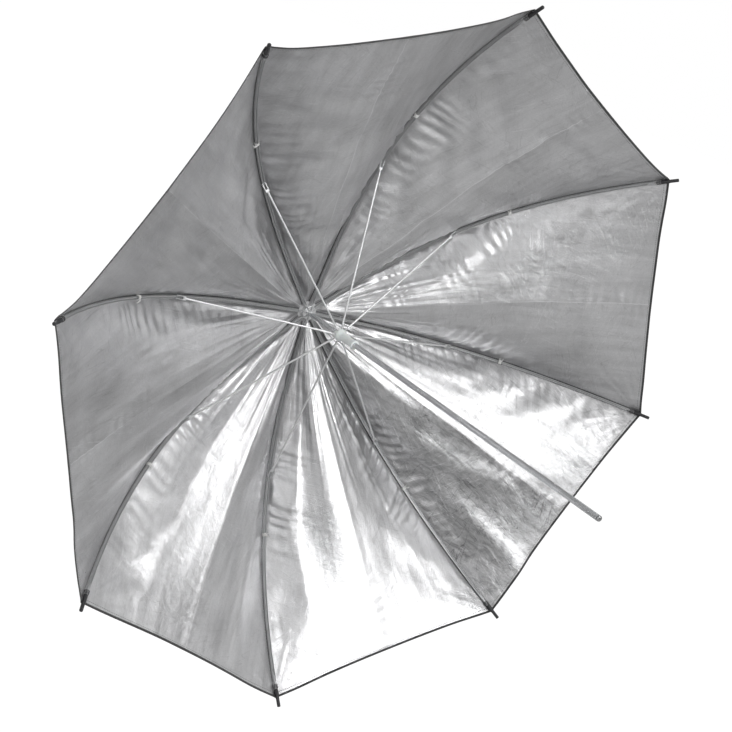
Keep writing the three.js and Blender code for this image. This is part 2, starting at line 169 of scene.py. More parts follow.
def rib_point(rib, radius, across, drop):
    """A point placed from one rib, in metres."""
    angle = rib * STEP
    outward = Vector((-math.sin(angle), 0, math.cos(angle)))
    sideways = Vector((-math.cos(angle), 0, -math.sin(angle)))
    down = Vector((0, -1, 0))
    return (outward * radius + sideways * across + down * drop + Vector((0, CROWN_Y, 0))) / 1000


# ------------------------------------------------------------------ noise

LATTICE = 64


def noise2(x, y, seed):
    """Smooth value noise in two directions, from -1 to 1."""
    grid = np.random.default_rng(seed).uniform(-1, 1, (LATTICE, LATTICE))
    cell_x = np.floor(x).astype(int)
    cell_y = np.floor(y).astype(int)

    def corner(step_x, step_y):
        return grid[(cell_x + step_x) % LATTICE, (cell_y + step_y) % LATTICE]

    def fade(part):
        return part * part * part * (part * (part * 6 - 15) + 10)

    fade_x, fade_y = fade(x - cell_x), fade(y - cell_y)
    low = corner(0, 0) * (1 - fade_x) + corner(1, 0) * fade_x
    high = corner(0, 1) * (1 - fade_x) + corner(1, 1) * fade_x
    return low * (1 - fade_y) + high * fade_y


def layered_noise(x, y, seed, octaves):
    total, weight = 0.0, 0.0
    for k in range(octaves):
        total = total + noise2(x * 2**k, y * 2**k, seed + 31 * k) / 2**k
        weight += 0.5**k
    return total / weight


# ------------------------------------------------------------------ simulated drape

CLOTH_SETTINGS = dict(
    quality=6, mass=0.12, air_damping=2.0,
    tension_stiffness=18, compression_stiffness=12, shear_stiffness=6, bending_stiffness=0.35,
    tension_damping=8, compression_damping=8, shear_damping=6,
    vertex_group_mass="pin", pin_stiffness=1.0,
    shrink_min=-0.006, shrink_max=-0.006)       # negative shrink lets the cloth grow
DRAPE_GRAVITY = 0.35


def whole_gore(shares):
    """Shares from a rib over the mid-line, up to but not onto the next rib."""
    return np.concatenate([shares, shares[-2:0:-1]])


def gore_angle(gore, angle, side_b):
    """Polar angle in the frame, from the angle off the nearest rib."""
    return np.where(side_b, (gore + 1) * STEP - angle, gore * STEP + angle)


def first_sim_share(station):
    """Share of the coarse grid's first column off the rib."""
    return np.minimum(6.0 / half_width(station), 0.35)


def sim_shares(station):
    first = first_sim_share(station)
    return np.concatenate([[0.0], first + (1 - first) * np.arange(SIM_COLS) / (SIM_COLS - 1)])


def sim_grid():
    """Coarse points, rows by ring columns, and which of them are pinned."""
    rows, pinned = [], []
    for station in SIM_STATIONS:
        shares = whole_gore(sim_shares(station))
        radius, angle, drop = sheet(np.full(shares.shape, station), shares)
        side_b = np.arange(len(shares)) > SIM_COLS
        rows.append(np.concatenate(
            [to_frame(radius, gore_angle(gore, angle, side_b), drop) for gore in range(RIBS)]))
        across = shares * station * math.sin(STEP) / 2
        pinned.append(np.tile((across < 6.5) | (station < 24), RIBS))
    return np.array(rows), np.array(pinned)


def ring_quads(index):
    """Quads over a grid of vertex numbers whose columns close on themselves."""
    after = np.roll(index, -1, 1)
    return np.stack([index[:-1], after[:-1], after[1:], index[1:]], -1).reshape(-1, 4)


def simulate():
    """How far the coarse points move when the cloth hangs between its ribs."""
    points, pinned = sim_grid()
    rows, columns = points.shape[:2]
    # slight unevenness gives the cloth somewhere to buckle
    uneven = noise2(SIM_STATIONS[:, None] / 60, np.arange(columns)[None] / 3.1, seed=11)
    start = points.copy()
    start[..., 1] += 1.6 * uneven * (~pinned).astype(float)

    mesh = bpy.data.meshes.new("drape")
    quads = ring_quads(np.arange(rows * columns).reshape(rows, columns))
    mesh.from_pydata((start / 1000).reshape(-1, 3).tolist(), [], quads.tolist())
    drape = bpy.data.objects.new("drape", mesh)
    scene.collection.objects.link(drape)
    group = drape.vertex_groups.new(name="pin")
    group.add(np.flatnonzero(pinned.ravel()).tolist(), 1.0, "REPLACE")
    cloth = drape.modifiers.new("Cloth", "CLOTH")
    for name, value in CLOTH_SETTINGS.items():
        setattr(cloth.settings, name, value)
    cloth.settings.effector_weights.gravity = DRAPE_GRAVITY
    cloth.point_cache.frame_start = 1
    cloth.point_cache.frame_end = SIM_FRAMES
    for number in range(1, SIM_FRAMES + 1):
        scene.frame_set(number)

    draped = drape.evaluated_get(bpy.context.evaluated_depsgraph_get()).data
    flat = np.zeros(rows * columns * 3, np.float32)
    draped.vertices.foreach_get("co", flat)
    moved = flat.reshape(rows, columns, 3).astype(float) * 1000 - points
    bpy.data.objects.remove(drape)
    scene.frame_set(1)
    size = np.linalg.norm(moved, axis=-1, keepdims=True)
    moved *= np.tanh(size / DRAPE_LIMIT) * DRAPE_LIMIT / np.maximum(size, 1e-6)
    moved[pinned] = 0
    return moved


def spline_weights(place, last):
    """Cubic B-spline sample numbers and weights for a fractional index."""
    whole = np.clip(np.floor(place).astype(int), 0, last)
    x = place - whole
    weights = [(1 - x) ** 3 / 6, (3 * x**3 - 6 * x**2 + 4) / 6,
               (-3 * x**3 + 3 * x**2 + 3 * x + 1) / 6, x**3 / 6]
    return [np.clip(whole + k - 1, 0, last) for k in range(4)], weights


# ------------------------------------------------------------------ fine cloth surface


def draped_surface():
    """Middle surface without wrinkles, with station, share, across, gore and side of each point."""
    shares = whole_gore(SHARES)
    station = STATIONS[:, None] + 0 * shares[None]
    share = shares[None] + 0 * station
    side_b = np.broadcast_to((np.arange(len(shares)) > COLS)[None], station.shape)
    across = half_width(station) * share
    radius, angle, drop = sheet(station, share)

    moved = simulate()
    row = np.interp(station, SIM_STATIONS, np.arange(len(SIM_STATIONS)))
    first = first_sim_share(station)
    beyond = 1 + (share - first) / (1 - first) * (SIM_COLS - 1)
    column = np.where(share < first, share / first, beyond)
    column = np.where(side_b, 2 * SIM_COLS - column, column)
    sim_rows, row_weights = spline_weights(row, len(SIM_STATIONS) - 1)
    sim_columns, column_weights = spline_weights(column, 2 * SIM_COLS)

    gores = []
    for gore in range(RIBS):
        points = to_frame(radius, gore_angle(gore, angle, side_b), drop)
        if moved is not None:
            # this gore's coarse columns and the one on the next rib
            wanted = np.arange(gore * 2 * SIM_COLS, (gore + 1) * 2 * SIM_COLS + 1)
            block = moved[:, wanted % moved.shape[1]]
            shift = 0
            for i in range(4):
                for j in range(4):
                    weight = (row_weights[i] * column_weights[j])[..., None]
                    shift = shift + block[sim_rows[i], sim_columns[j]] * weight
            points = points + shift * smoothstep(across, start=3.5, end=11)[..., None]
        gores.append(points)
    points = np.concatenate(gores, 1)
    gore = np.repeat(np.arange(RIBS), len(shares))[None] + 0 * points[..., 0]
    station, share, across, side_b = (
        np.tile(values, (1, RIBS)) for values in (station, share, across, side_b))
    return points, station, share, across, gore, side_b


def cloth_normals(points):
    """Normals turned toward the inside, -Y."""
    down_rows = np.gradient(points, axis=0)
    round_ring = np.roll(points, -1, 1) - np.roll(points, 1, 1)
    normals = np.cross(down_rows, round_ring)
    normals /= np.maximum(np.linalg.norm(normals, axis=-1, keepdims=True), 1e-9)
    return np.where(normals[..., 1:2] > 0, -normals, normals)


# Each kind of wrinkle below gives a displacement toward the inside. Divisors under station,
# across or lateral are the wrinkle's length in that direction.

LENGTHWISE_FOLDS = ((0.36, 0.35), (0.66, 0.28), (0.83, 0.22))           # share, depth
SEAM_PULLS = ((285, 95, 1.0), (TIE_R, 55, 0.6), (165, 70, 0.5), (480, 40, 0.3))
#            station, spread, strength of the pull on a rib's seam


def broad_unevenness(at):
    broad = layered_noise(
        at.lateral / 85 + at.seed, at.station / 120 + at.seed, seed=3, octaves=2)
    return 1.5 * broad * smoothstep(at.across, start=6, end=45)


def middle_fold(at):
    """The fold down the middle of each gore."""
    depth = 0.75 + 0.25 * noise2(at.station / 40, at.seed, seed=5)
    ridge = 1.15 * np.exp(-(at.mid / 3.2) ** 1.5)
    return ridge * depth * smoothstep(at.station, start=60, end=130)


def lengthwise_folds(at):
    """Fainter folds between rib and middle, broken up along their length."""
    folds = []
    for k, (place, depth) in enumerate(LENGTHWISE_FOLDS):
        wander = 0.02 * noise2(at.station / 90, at.seed + k, seed=6)
        line = (at.share - place - wander) * at.half
        broken = smoothstep(
            noise2(at.station / 70 + k * 5, at.seed, seed=7), start=-0.3, end=0.5)
        folds.append(depth * bell(line, centre=0, width=2.4) * broken
                     * smoothstep(at.station, start=120, end=200))
    return folds


def seam_puckers(at):
    """Puckers along the rib's seam."""
    station, across, rib, side = at.station, at.across, at.rib, at.side
    strong = 0.75 + 0.25 * noise2(rib * 2.3 + side * 1.7, rib * 0.9, seed=23)
    pull = sum(strength * bell(station, centre, width) for centre, width, strength in SEAM_PULLS)
    phase = (station / 18.5 + 0.9 * noise2(station / 44, rib * 3.3 + side, seed=8)
             - across / 62 + 0.25 * noise2(across / 22, station / 26 + rib, seed=12))
    reach = 27 + 12 * noise2(station / 58, rib * 5.1 + side * 2, seed=9)
    patch = 0.4 + 0.6 * smoothstep(
        noise2(station / 52, rib * 7.7 + side * 3, seed=10), start=-0.5, end=0.4)
    wave = signed_power(np.sin(2 * math.pi * phase), 1.3)
    return (1.75 * strong * pull * patch * wave * bell(across, centre=15, width=reach)
            * smoothstep(across, start=4.0, end=12))


def hem_ripples(at):
    """Cross ripples about the middle fold, toward the hem."""
    station, seed = at.station, at.seed
    phase = (station / 17.5 + 0.8 * noise2(station / 60, seed, seed=13)
             + 0.010 * at.lateral + 0.3 * noise2(at.lateral / 20, station / 30, seed=14))
    spread = 24 + 12 * noise2(station / 60, seed, seed=15)
    patch = 0.4 + 0.6 * smoothstep(
        noise2(station / 46, seed + 2, seed=16), start=-0.5, end=0.3)
    gore_strength = 0.6 + 0.4 * noise2(at.gore * 1.37 + 0.5, at.gore * 0.77, seed=17)
    zone = smoothstep(station, start=300, end=440) * patch * gore_strength
    return 1.0 * zone * np.sin(2 * math.pi * phase) * bell(at.mid, centre=-4, width=spread)


def crown_fan(at):
    """Folds that fan out from the crown."""
    station = at.station
    angle = at.across / np.maximum(station, 1)
    uneven_sides = np.where(at.side_b, 1, 1.02)
    fan = (noise2(angle * 58 + at.seed * 3, station / 210 + at.gore, seed=18)
           + 0.6 * noise2(angle * 120 * uneven_sides + at.seed, station / 160, seed=19))
    depth = 0.72 * bell(station, centre=110, width=120) + 0.22
    return fan * depth * smoothstep(station, start=26, end=80)


def corner_pulls(at):
    """Lines out of the hem's corners at the rib tips."""
    away = np.hypot(HEM_R - at.station, at.across) + 1
    bearing = np.arctan2(at.across, HEM_R - at.station + 1)
    lines = noise2(bearing * 9 + at.rib * 2.2, away / 160, seed=20)
    return 0.55 * lines * bell(away, centre=0, width=95) * smoothstep(away, start=6, end=30)


def crumpling(at):
    """Small crumples everywhere, coarse and fine."""
    coarse = layered_noise(at.lateral / 13 + at.seed, at.station / 26, seed=21, octaves=2)
    fine = layered_noise(at.lateral / 6 + at.seed, at.station / 8, seed=22, octaves=1)
    return 0.26 * coarse, 0.1 * fine


def wrinkles(station, share, across, gore, side_b):
    """All displacement toward the inside, held back at ribs, crown and hem."""
    half = half_width(station)
    side = np.where(side_b, -1.0, 1.0)
    at = SimpleNamespace(
        station=station, share=share, across=across, gore=gore, side_b=side_b, side=side,
        half=half, mid=half - across, lateral=(half - across) * side,
        rib=(gore + side_b) % RIBS, seed=gore * 9.7)
    total = sum([
        broad_unevenness(at), middle_fold(at), *lengthwise_folds(at), seam_puckers(at),
        hem_ripples(at), crown_fan(at), corner_pulls(at), *crumpling(at)])
    clear = smoothstep(across, start=3.2, end=10) * smoothstep(station, start=22, end=60)
    return total * clear * (1 - 0.85 * smoothstep(station, start=HEM_R - 9, end=HEM_R))


def build_surfaces():
    """Stations, middle surface, normals, and the cloth's inside and outside faces."""
    points, station, share, across, gore, side_b = draped_surface()
    depth = wrinkles(station, share, across, gore, side_b)
    points = points + cloth_normals(points) * depth[..., None]
    normals = cloth_normals(points)
    # the seam stands out a little on the back, with a groove along its middle
    seam = (0.35 * (1 - smoothstep(across, start=2.4, end=3.6))
            * smoothstep(across, start=0.0, end=0.9) * smoothstep(station, start=24, end=40))
    return (station, points, normals,
            points + normals * PLY, points - normals * (PLY + seam)[..., None])


STATION, MIDDLE, NORMALS, INSIDE, OUTSIDE = build_surfaces()

# ------------------------------------------------------------------ how far the cloth turns when shut


def rotation(axis, angle):
    return np.array(Matrix.Rotation(angle, 3, Vector(axis)))


def wrap_shares(rib, side, columns):
    """How far each point of half a gore turns about its rib's chord when the umbrella is shut,
    as a share of the joint's range: until the two halves lie beside each other."""
    points = MIDDLE[:, columns]
    radius = np.hypot(points[..., 0], points[..., 2])
    angle = np.arctan2(-points[..., 0], points[..., 2])
    own = (angle - rib * STEP + math.pi) % (2 * math.pi) - math.pi
    points = to_frame(radius, own if side == "a" else -own, CROWN_Y - points[..., 1])

    hinge, fold = joints["canopy_1a_fold"], joints["fold"]
    wrap_range = math.radians(hinge["range_deg"][1])
    pivot = np.array(hinge["pos_m"]) * 1000
    crown = np.array(fold["pos_m"]) * 1000
    shut = rotation(fold["axis"], math.radians(fold["range_deg"][1]))
    share = np.broadcast_to(SHARES, radius.shape)
    allowed = HALF_STEP * share**0.55
    gap = smoothstep(share, start=0.1, end=0.5)

    best = np.ones(radius.shape)
    found = np.zeros(radius.shape, bool)
    over_before, turn_before = 0.0, 0.0
    for turn in np.linspace(0, 1, 91):
        turned = (points - pivot) @ rotation(hinge["axis"], turn * wrap_range).T + pivot
        turned = (turned - crown) @ shut.T + crown
        distance = np.maximum(12, np.hypot(turned[..., 0], turned[..., 2]))
        limit = allowed - 0.5 / distance * gap
        over = np.arctan2(-turned[..., 0], turned[..., 2]) - limit
        fits = (over <= 1e-4) & ~found
        part = np.clip(over_before / np.maximum(over_before - over, 1e-9), 0, 1)
        best[fits] = (turn_before + part * (turn - turn_before))[fits]
        found |= fits
        over_before, turn_before = over, turn
    for _ in range(2):   # even out the steps
        pad = np.pad(best, 1, mode="edge")
        around = pad[:-2, 1:-1] + pad[2:, 1:-1] + pad[1:-1, :-2] + pad[1:-1, 2:]
        best = np.maximum(best, (around + 4 * pad[1:-1, 1:-1]) / 8)
    best[:, 0] = 0
    return best


# ------------------------------------------------------------------ shader graphs


class Value:
    """A node's output, which can be used in sums."""

    def __init__(self, graph, socket):
        self.graph = graph
        self.socket = socket

    def __add__(self, other):
        return self.graph.math("ADD", self, other)

    def __sub__(self, other):
        return self.graph.math("SUBTRACT", self, other)

    def __rsub__(self, other):
        return self.graph.math("SUBTRACT", other, self)

    def __mul__(self, other):
        return self.graph.math("MULTIPLY", self, other)

    def __truediv__(self, other):
        return self.graph.math("DIVIDE", self, other)

    def __abs__(self):
        return self.graph.math("ABSOLUTE", self)

    def above(self, limit):
        return self.graph.math("GREATER_THAN", self, limit)

    def below(self, limit):
        return self.graph.math("LESS_THAN", self, limit)

    def max(self, other):
        return self.graph.math("MAXIMUM", self, other)

    def wave(self, pitch):
        """A sine that repeats every pitch."""
        return self.graph.math("SINE", self * (2 * math.pi / pitch))

    def remap(self, span=(0.3, 0.7), to=(0.0, 1.0)):
        """Span becomes to, clamped. The span left unsaid is the usual range of noise."""
        return self.graph.add("MapRange", {0: self, 1: span[0], 2: span[1], 3: to[0], 4: to[1]})


class Graph:
    def __init__(self, tree):
        self.tree = tree
        tree.nodes.clear()

    def put(self, socket, value):
        if isinstance(value, Value):
            self.tree.links.new(value.socket, socket)
        elif isinstance(value, tuple) and len(value) == 3 and len(socket.default_value) == 4:
            socket.default_value = (*value, 1)
        else:
            socket.default_value = value

    def add(self, kind, inputs=(), out=0, **settings):
        node = self.tree.nodes.new("ShaderNode" + kind)
        for key, value in settings.items():
            setattr(node, key, value)
        for key, value in dict(inputs).items():
            self.put(node.inputs[key], value)
        return Value(self, node.outputs[out])

    def math(self, operation, first, second=0.0, clamp=False):
        inputs = {0: first, 1: second, 2: 0.0}
        return self.add("Math", inputs, operation=operation, use_clamp=clamp)

    def scaled(self, vector, factors):
        return self.add("VectorMath", {0: vector, 1: factors}, operation="MULTIPLY")

    def attribute(self, name):
        return self.add("Attribute", out="Vector", attribute_name=name)

    def position(self):
        return self.add("TexCoord", out="Object")

    def xyz(self, vector):
        node = self.add("SeparateXYZ", {0: vector}).socket.node
        return [Value(self, socket) for socket in node.outputs]

    def noise(self, vector, scale, detail, rough=0.55, distort=0.0):
        return self.add("TexNoise", {"Vector": vector, "Scale": scale, "Detail": detail,
                                     "Roughness": rough, "Distortion": distort})

    def color(self, red, green, blue):
        return self.add("CombineColor", {0: red, 1: green, 2: blue})

    def tinted(self, value, base):
        return self.color(*(value * channel for channel in base))

    def mix(self, factor, first, second):
        return self.add("Mix", {0: factor, 6: first, 7: second}, out=2, data_type="RGBA")

    def bump(self, height, distance, strength, normal=None):
        inputs = {"Height": height, "Distance": distance, "Strength": strength}
        if normal is not None:
            inputs["Normal"] = normal
        return self.add("Bump", inputs)

    def edges(self, radius, sharpest):
        """1 on edges, from how far a rounded normal leans off the true one."""
        rounded = self.add("Bevel", {"Radius": radius}, samples=4)
        flat = self.add("NewGeometry", out="Normal")
        likeness = self.add("VectorMath", {0: rounded, 1: flat}, out=1, operation="DOT_PRODUCT")
        return likeness.remap(span=(sharpest, 0.995), to=(1.0, 0.0))


class Material(Graph):
    def __init__(self, name):
        self.material = bpy.data.materials.new(name)
        self.material.use_nodes = True
        super().__init__(self.material.node_tree)
        self.output = self.tree.nodes.new("ShaderNodeOutputMaterial")
        self.bsdf = self.tree.nodes.new("ShaderNodeBsdfPrincipled")
        self.tree.links.new(self.bsdf.outputs[0], self.output.inputs[0])

    def finish(self, inputs):
        for key, value in inputs.items():
            self.put(self.bsdf.inputs[key], value)
        return self.material


# ------------------------------------------------------------------ cloth materials, in metres
#
# Attribute "cl" is (lateral place, station, half gore's tag), "ct" is (across, station,
# distance from the mid-line).

TAG_STEP, SIDE_B_TAG = 0.37, 0.15
HEM_STITCH_R = 0.5305
WEAVE_PITCH = 0.0009

# Painted shade and painted glints along straight crease lines:
# turn in radians, stretch along, noise scale, width, scale of the patches
CREASE_SHADE_LINES = ((1.45, 0.05, 110, 0.012, 8), (0.35, 0.10, 95, 0.012, 10),
                (-0.7, 0.12, 100, 0.010, 9))
CREASE_GLINT_LINES = ((1.15, 0.06, 130, 0.010, 11), (-0.25, 0.10, 120, 0.010, 7))


def half_tag(rib, side):
    return TAG_STEP * rib + (SIDE_B_TAG if side == "b" else 0)


def stitch_mask(along, across, pitch, place, width):
    """1 on a row of stitches at across = place."""
    cycle = along.graph.math("FRACT", along / pitch)
    dash = cycle.above(0.16) * cycle.below(0.84)
    return dash * abs(across - place).below(width)


def weave(x, y):
    return x.wave(WEAVE_PITCH) * y.wave(WEAVE_PITCH)


def crease_lines(graph, cloth, turn, stretch, scale, width, patch_scale):
    """Thin straight marks in one direction, in patches: masks for painted shade and painted glints
    along creases.
    """
    x, y, z = graph.xyz(cloth)
    cosine, sine = math.cos(turn), math.sin(turn)
    along = x * cosine + y * sine
    across = y * cosine - x * sine
    place = graph.add("CombineXYZ", {0: along * stretch, 1: across, 2: z})
    ridge = abs(graph.noise(place, scale=scale, detail=2, rough=0.5) - 0.5)
    patches = graph.noise(cloth, scale=patch_scale, detail=2).remap(span=(0.44, 0.6))
    return ridge.remap(span=(0.0, width), to=(1.0, 0.0)) * patches


def silver_cloth():
    graph = Material("cloth_silver")
    cloth = graph.attribute("cl")
    x, y, tag = graph.xyz(cloth)
    across, station, mid = graph.xyz(graph.attribute("ct"))
    streak = graph.noise(
        graph.scaled(cloth, (1, 0.16, 1)), scale=60, detail=4, rough=0.6, distort=0.4)
    cloud = graph.noise(cloth, scale=9, detail=3, rough=0.5, distort=0.6)
    crumple = graph.noise(cloth, scale=48, detail=4, rough=0.6, distort=0.9)
    fine = graph.noise(cloth, scale=420, detail=2, rough=0.6)
    # painted shade along some crease lines, painted glints along others
    first, second, third = (crease_lines(graph, cloth, *row) for row in CREASE_SHADE_LINES)
    crease_shade = first.max(second.max(third))
    first, second = (crease_lines(graph, cloth, *row) for row in CREASE_GLINT_LINES)
    glint = first.max(second)

    # tone: shades added to or taken from an even grey; random noise, painted shade toward the rib
    # and along creases, and painted glints
    either = (-0.5, 0.5)
    # painted shade, darker close to the rib
    near_rib_shade = across.remap(span=(0.0025, 0.03), to=(1.0, 0.0))
    tone = (streak.remap(to=either) * 0.13 + cloud.remap(to=either) * 0.10
            + fine.remap(to=either) * 0.05 - near_rib_shade * 0.02 - crease_shade * 0.085 + glint * 0.09)
    # painted shade: the gore between ribs 6 and 7 is painted darker and mottled, with deeper
    # painted crease shade and brighter painted glints, and its second half less so
    shaded_gore_a = abs(tag - half_tag(5, "a")).remap(span=(0.03, 0.06), to=(1.0, 0.0))
    shaded_gore_b = abs(tag - half_tag(6, "b")).remap(span=(0.03, 0.06), to=(0.6, 0.0))
    shaded_gore = shaded_gore_a.max(shaded_gore_b) * station.remap(span=(0.12, 0.3), to=(0.3, 1.0))
    rubbing_and_shade_mottle = graph.noise(
        graph.scaled(cloth, (1, 0.4, 1)), scale=120, detail=5, rough=0.72, distort=0.9)
    gore_shade = shaded_gore * rubbing_and_shade_mottle.remap(span=(0.42, 0.60), to=(0.25, 1.0))
    tone = tone - gore_shade * 0.23 - shaded_gore * crease_shade * 0.12 + shaded_gore * glint * 0.16
    # a painted highlight along the mid-line fold, painted shade darkening the crown and a painted
    # shadow line beside the rib
    fold = abs(mid).remap(span=(0.0003, 0.0010), to=(1.0, 0.0))
    # painted shadow: a dark line on the cloth beside the rib
    beside = (across.remap(span=(0.0017, 0.0021))
              * across.remap(span=(0.0028, 0.0034), to=(1.0, 0.0)))
    # painted shade: the cloth is darker toward the crown
    tone = (tone + fold * cloud.remap(span=(0.4, 0.55), to=(0.0, 0.16))
            - station.remap(span=(0.02, 0.13), to=(0.07, 0.0)) - beside * 0.42)
    grey = graph.math("ADD", tone, 0.60, clamp=True)

    seam = stitch_mask(station, across, pitch=0.0034, place=0.0039, width=0.00024)
    hem = stitch_mask(x, station, pitch=0.0032, place=HEM_STITCH_R, width=0.00026)
    thread = seam.max(hem)
    color = graph.mix(thread, graph.color(grey, grey, grey * 1.012), (0.2, 0.2, 0.205))

    height = crumple * 0.9 + streak * 0.55 + (glint - crease_shade) * 0.12
    large = graph.bump(height, distance=0.0011, strength=0.75)
    small = graph.bump(
        weave(x, y) + fine * 1.6, distance=0.00006, strength=0.6, normal=large)
    normal = graph.bump(thread.max(0.0), distance=0.0003, strength=0.9, normal=small)
    rough = streak.remap(to=(0.3, 0.4)) + cloud.remap(to=(-0.03, 0.05)) + thread * 0.2
    return graph.finish({"Base Color": color, "Metallic": 0.93 - thread * 0.6,
                         "Roughness": rough, "Normal": normal, "Anisotropic": 0.25})


def black_cloth():
    graph = Material("cloth_black")
    cloth = graph.attribute("cl")
    x, y, _ = graph.xyz(cloth)
    across, station, _ = graph.xyz(graph.attribute("ct"))
    streak = graph.noise(graph.scaled(cloth, (1, 0.2, 1)), scale=50, detail=4, rough=0.6)
    cloud = graph.noise(cloth, scale=10, detail=3, rough=0.55)
    fine = graph.noise(cloth, scale=500, detail=2, rough=0.6)
    crumple = graph.noise(cloth, scale=42, detail=4, rough=0.6, distort=0.7)
    grey = (streak.remap(to=(0.010, 0.020)) + cloud.remap(to=(-0.002, 0.006))
            + fine.remap(span=(0.35, 0.65), to=(-0.002, 0.003)))
    seam = stitch_mask(station, across, pitch=0.0034, place=0.0021, width=0.00026)
    hem = stitch_mask(x, station, pitch=0.0032, place=HEM_STITCH_R, width=0.00026)
    thread = seam.max(hem)
    color = graph.mix(thread, graph.color(grey, grey, grey * 1.06), (0.06, 0.06, 0.063))
    large = graph.bump(crumple + streak * 0.5, distance=0.0009, strength=0.7)
    small = graph.bump(weave(x, y), distance=0.0001, strength=0.7, normal=large)
    normal = graph.bump(thread, distance=0.0003, strength=0.9, normal=small)
    return graph.finish({
        "Base Color": color, "Roughness": cloud.remap(to=(0.42, 0.56)), "Normal": normal,
        "Sheen Weight": 0.22, "Sheen Roughness": 0.4, "Specular IOR Level": 0.45})


def binding_cloth():
    """The tape around the cloth's hem."""
    graph = Material("cloth_binding")
    cloth = graph.attribute("cl")
    x, y, _ = graph.xyz(cloth)
    twill = (x + y * 1.7).wave(0.0011)
    fine = graph.noise(cloth, scale=600, detail=3, rough=0.6)
    wear = graph.noise(cloth, scale=70, detail=4, rough=0.65).remap(span=(0.52, 0.75))
    grey = fine.remap(to=(0.010, 0.022)) + wear * 0.018
    thread = stitch_mask(x, y, pitch=0.0032, place=0.5325, width=0.0003)
    color = graph.mix(thread, graph.color(grey, grey, grey), (0.07, 0.07, 0.072))
    return graph.finish({
        "Base Color": color, "Roughness": fine.remap(to=(0.55, 0.75)),
        "Normal": graph.bump(twill + thread * 3.0, distance=0.00012, strength=0.8),
        "Sheen Weight": 0.35, "Sheen Roughness": 0.5})


# ------------------------------------------------------------------ metal, plastic and thread


def worn_metal(name, base, worn, rough, grain=(1, 1, 1), edge=0.00025, amount=1.0,
               metallic=1.0, bump=0.5):
    """Metal with drawn lines, smudges, and edges rubbed to the worn colour."""
    graph = Material(name)
    position = graph.position()
    lines = graph.noise(graph.scaled(position, grain), scale=900, detail=3, rough=0.6)
    smudge = graph.noise(position, scale=55, detail=4, rough=0.6, distort=0.5)
    spots = graph.noise(position, scale=420, detail=2, rough=0.6)
    rub = (graph.edges(radius=edge, sharpest=0.90)
           * smudge.remap(span=(0.35, 0.6), to=(0.25, 1.0)))
    rub = graph.math("MULTIPLY", rub, amount, clamp=True)
    shade = lines.remap(to=(0.86, 1.1)) + smudge.remap(to=(-0.07, 0.06))
    return graph.finish({
        "Base Color": graph.mix(rub, graph.tinted(shade, base), worn),
        "Metallic": rub * (1 - metallic) + metallic if metallic < 1 else 1.0,
        "Roughness": (smudge.remap(to=(rough - 0.05, rough + 0.07))
                      + spots.remap(span=(0.5, 0.75), to=(0.0, 0.06))),
        "Normal": graph.bump(lines + spots * 0.4, distance=0.00004, strength=bump),
        "Coat Roughness": 0.25})


def plastic(name, base, rough, edge_tone, subsurface=0.0, grain=0.00005, dust=0.0):
    """Moulded plastic with paler edges. Grain is the height of its texture."""
    graph = Material(name)
    position = graph.position()
    texture = graph.noise(position, scale=1500, detail=2, rough=0.6)
    smudge = graph.noise(position, scale=60, detail=4, rough=0.6, distort=0.4)
    edges = graph.edges(radius=0.0003, sharpest=0.92)
    shade = smudge.remap(to=(0.9, 1.08)) + texture.remap(to=(-0.04, 0.04))
    body = graph.tinted(shade, base)
    if dust:
        specks = graph.noise(position, scale=180, detail=3, rough=0.7)
        body = graph.mix(specks.remap(span=(0.5, 0.75)) * dust, body, (0.5, 0.49, 0.46))
    rubbing_and_shade_mottle = edges * smudge.remap(span=(0.35, 0.65), to=(0.1, 0.8))
    return graph.finish({
        "Base Color": graph.mix(rubbing_and_shade_mottle, body, edge_tone),
        "Roughness": smudge.remap(to=(rough - 0.06, rough + 0.1)),
        "Normal": graph.bump(texture, distance=grain, strength=0.6),
        "Subsurface Weight": subsurface})


def twisted_thread(name, base):
    graph = Material(name)
    position = graph.position()
    x, y, z = graph.xyz(position)
    twist = (x + y + z).wave(0.0007)
    fuzz = graph.noise(position, scale=1800, detail=2, rough=0.6)
    # painted shade: darker in the grooves of the twist, where the bump is low; the fuzz is random
    # tone
    shade = twist.remap(span=(-1, 1), to=(0.82, 1.04)) + fuzz.remap(to=(-0.08, 0.08))
    return graph.finish({
        "Base Color": graph.tinted(shade, base), "Roughness": 0.75, "Sheen Weight": 0.4,
        "Normal": graph.bump(twist + fuzz, distance=0.00012, strength=0.8)})


SILVER, BLACK, BINDING = silver_cloth(), black_cloth(), binding_cloth()
RIB_STEEL = worn_metal("rib_steel", base=(0.46, 0.465, 0.47), worn=(0.75, 0.75, 0.76),
                       rough=0.38, edge=0.0003, amount=0.8, metallic=0.45)
CHROME = worn_metal("shaft_chrome", base=(0.62, 0.63, 0.64), worn=(0.8, 0.8, 0.81),
                    rough=0.2, grain=(1, 0.02, 1), edge=0.0002, amount=0.6, bump=0.15)
PLUG = worn_metal("shaft_plug", base=(0.5, 0.505, 0.51), worn=(0.8, 0.8, 0.81),
                  rough=0.3, edge=0.0003, amount=0.8)
NOTCH = worn_metal("crown_notch", base=(0.78, 0.785, 0.79), worn=(0.92, 0.92, 0.93),
                   rough=0.30, edge=0.0005, metallic=0.75)
ROSETTE_IN = plastic("rosette_inner", base=(0.55, 0.55, 0.555), rough=0.45,
                     edge_tone=(0.6, 0.6, 0.6), grain=0.0001)
ROD = worn_metal("stretcher_steel", base=(0.74, 0.745, 0.75), worn=(0.85, 0.85, 0.86),
                 rough=0.40, edge=0.0002, amount=0.7, metallic=0.7, bump=0.2)
WIRE = worn_metal("wire_steel", base=(0.55, 0.56, 0.58), worn=(0.7, 0.7, 0.71), rough=0.3)
RIVET = worn_metal("rivet_steel", base=(0.46, 0.47, 0.49), worn=(0.72, 0.72, 0.73), rough=0.32)
